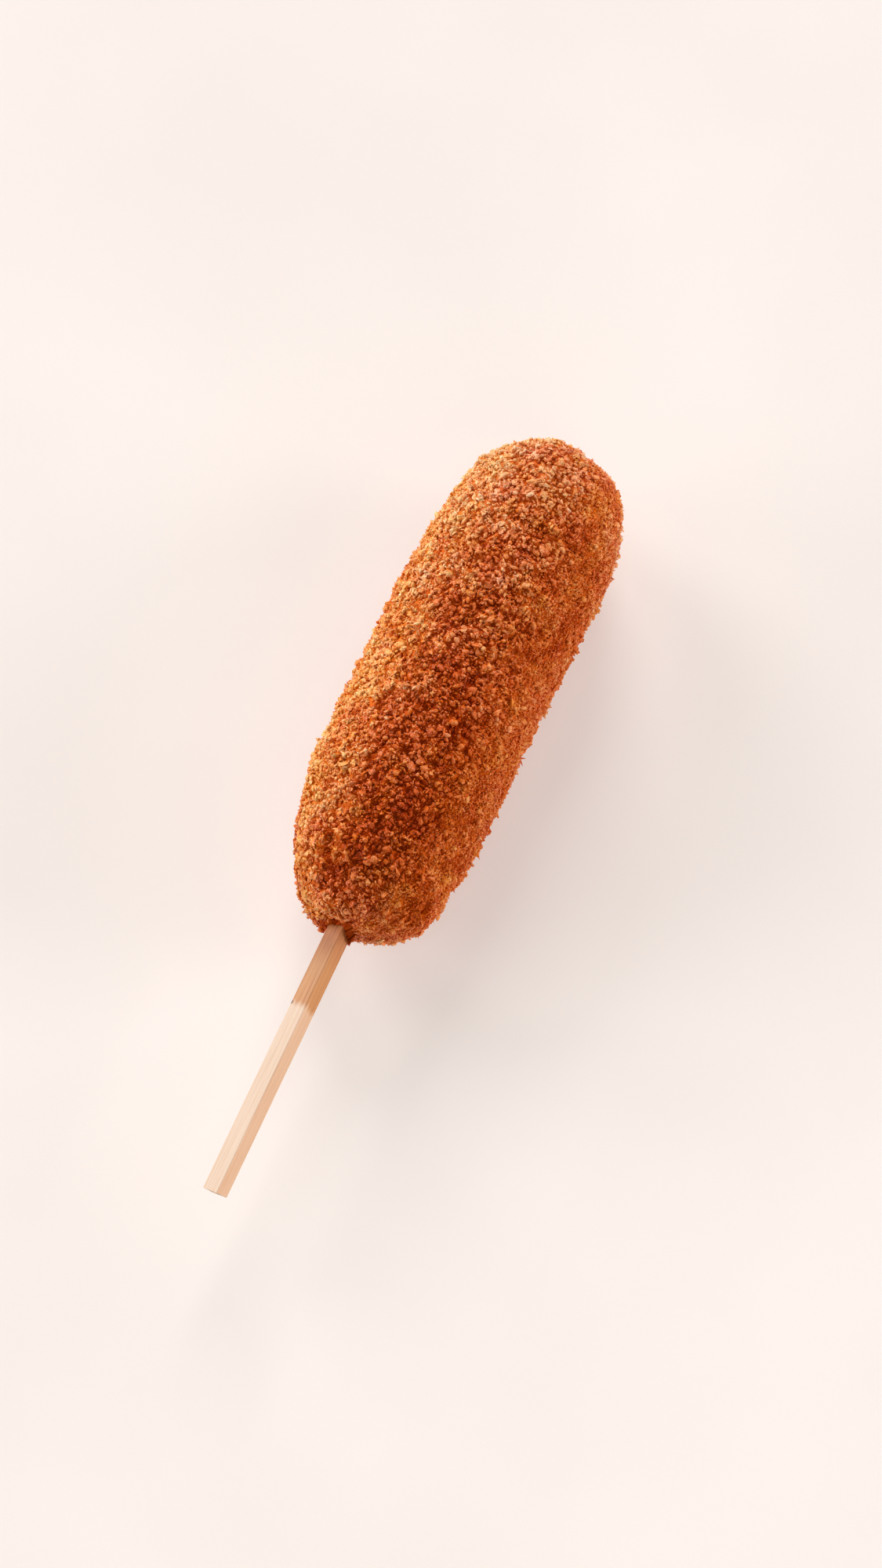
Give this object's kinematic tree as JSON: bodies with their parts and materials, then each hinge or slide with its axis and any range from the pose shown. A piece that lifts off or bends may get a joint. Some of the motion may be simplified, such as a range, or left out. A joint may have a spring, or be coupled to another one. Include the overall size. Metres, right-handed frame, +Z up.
{
  "type": "corn dog",
  "caption": "Long round-ended sausage in batter and a coarse golden crumb crust on a square wooden stick, lying on its side with the bare stick held clear of the table.",
  "frame": {"origin": "middle of the bottom of the box round the whole thing, on the surface that it lies on", "axes": "+Y along the food from the bare stick towards the round tip, +Z up with the shown side of the crust on top, +X to the right seen from the stick's end"},
  "size_m": [0.0478, 0.2136, 0.0465],
  "materials": {
    "crumb_crust": "deep-fried bread crumbs, rough, golden orange to red-brown",
    "stick_wood": "pale planed wood with fine straight grain, oil-stained near the food"
  },
  "bodies": {
    "root": {"breaded_food": "crumb_crust", "stick": "stick_wood"}
  },
  "joints": []
}
